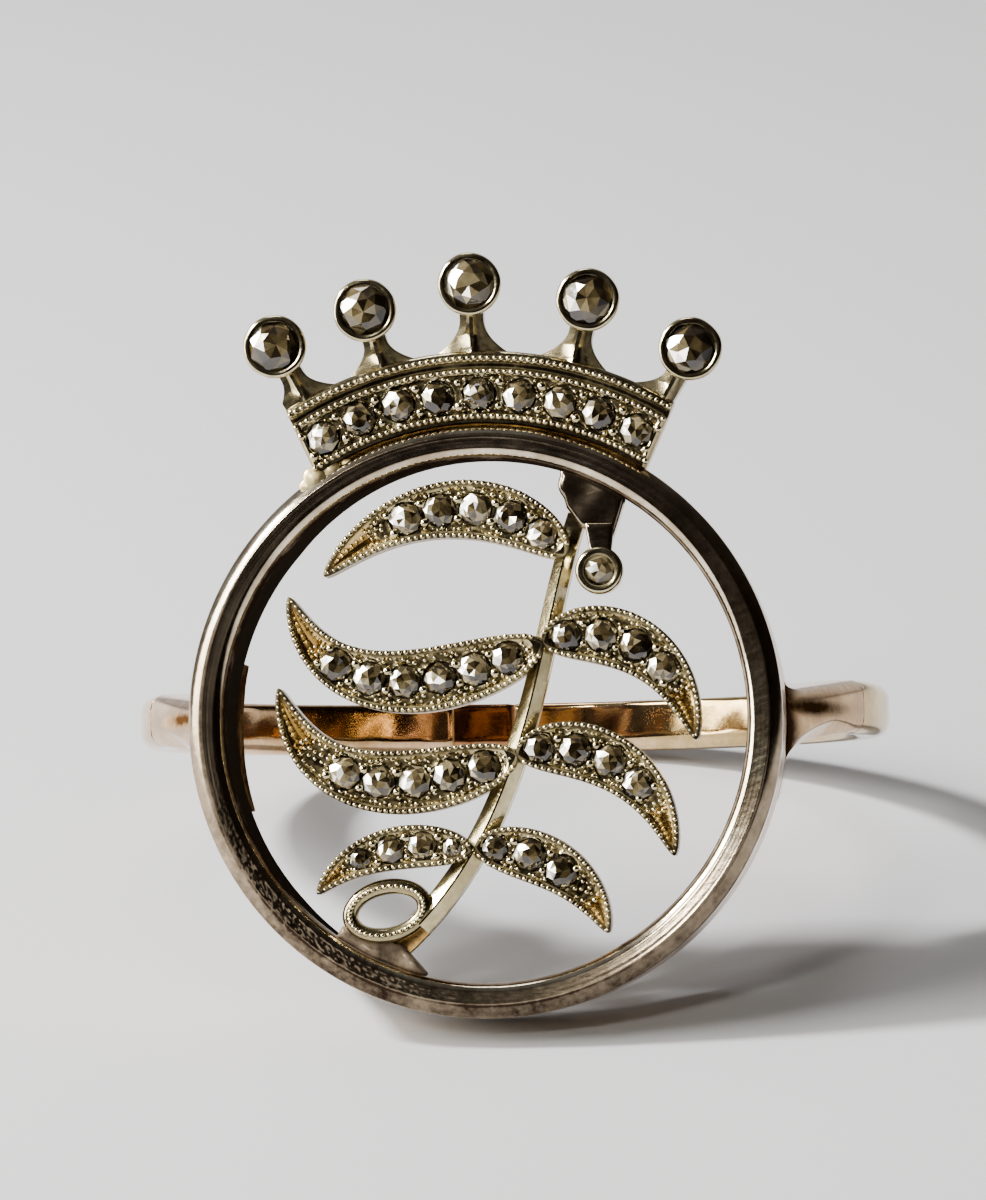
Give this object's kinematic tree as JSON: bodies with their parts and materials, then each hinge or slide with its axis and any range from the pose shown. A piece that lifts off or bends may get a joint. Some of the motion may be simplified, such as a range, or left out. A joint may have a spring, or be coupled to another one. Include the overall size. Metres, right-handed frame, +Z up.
{
  "type": "finger ring",
  "caption": "Antique dress ring: a round openwork frame with a pierced leaf spray inside, a small pointed coronet on top and a plain gold shank behind.",
  "frame": {"origin": "on the floor, under the middle of the whole ring's bounding box, with the ring leaning as it lies on a table", "axes": "+X to the wearer's right as seen from the front, -Y out of the front of the round frame, +Z up; the finger hole's axis leans 21.1 degrees from +Z towards +Y"},
  "size_m": [0.02, 0.0226, 0.0189],
  "materials": {
    "white_metal": "worn polish, warm white, darkened in the corners",
    "rose_gold": "polished rose gold with fine scratches",
    "yellow_gold": "satin yellow gold, pierced behind the stones",
    "red_gold": "polished, redder gold with solder seams",
    "old_cut_stones": "clear, rose and old cut facets"
  },
  "bodies": {
    "root": {"shank_left": "rose_gold", "shank_right": "rose_gold", "sizing_insert": "red_gold", "shoulder_left": "rose_gold", "shoulder_right": "rose_gold", "frame_wall": "rose_gold", "frame_rim": "white_metal", "frame_lug": "white_metal", "frame_foot": "white_metal", "crown_backing": "yellow_gold", "crown_plate": "white_metal", "crown_rail_top": "white_metal", "crown_rail_upper": "white_metal", "crown_rail_lower": "white_metal", "crown_band_stones": "old_cut_stones", "crown_stem_1": "white_metal", "crown_stem_2": "white_metal", "crown_stem_3": "white_metal", "crown_stem_4": "white_metal", "crown_stem_5": "white_metal", "crown_collet_1": "white_metal", "crown_collet_2": "white_metal", "crown_collet_3": "white_metal", "crown_collet_4": "white_metal", "crown_collet_5": "white_metal", "crown_stone_1": "old_cut_stones", "crown_stone_2": "old_cut_stones", "crown_stone_3": "old_cut_stones", "crown_stone_4": "old_cut_stones", "crown_stone_5": "old_cut_stones", "spray_backing": "yellow_gold", "spray_stem": "white_metal", "eye_loop": "white_metal", "berry_stalk": "white_metal", "berry_collet": "white_metal", "berry_stone": "old_cut_stones", "leaf_1": "white_metal", "leaf_2": "white_metal", "leaf_3": "white_metal", "leaf_4": "white_metal", "leaf_5": "white_metal", "leaf_6": "white_metal", "leaf_7": "white_metal", "leaf_rail_1": "white_metal", "leaf_rail_2": "white_metal", "leaf_rail_3": "white_metal", "leaf_rail_4": "white_metal", "leaf_rail_5": "white_metal", "leaf_rail_6": "white_metal", "leaf_rail_7": "white_metal", "leaf_stones_1": "old_cut_stones", "leaf_stones_2": "old_cut_stones", "leaf_stones_3": "old_cut_stones", "leaf_stones_4": "old_cut_stones", "leaf_stones_5": "old_cut_stones", "leaf_stones_6": "old_cut_stones", "leaf_stones_7": "old_cut_stones"}
  },
  "joints": []
}
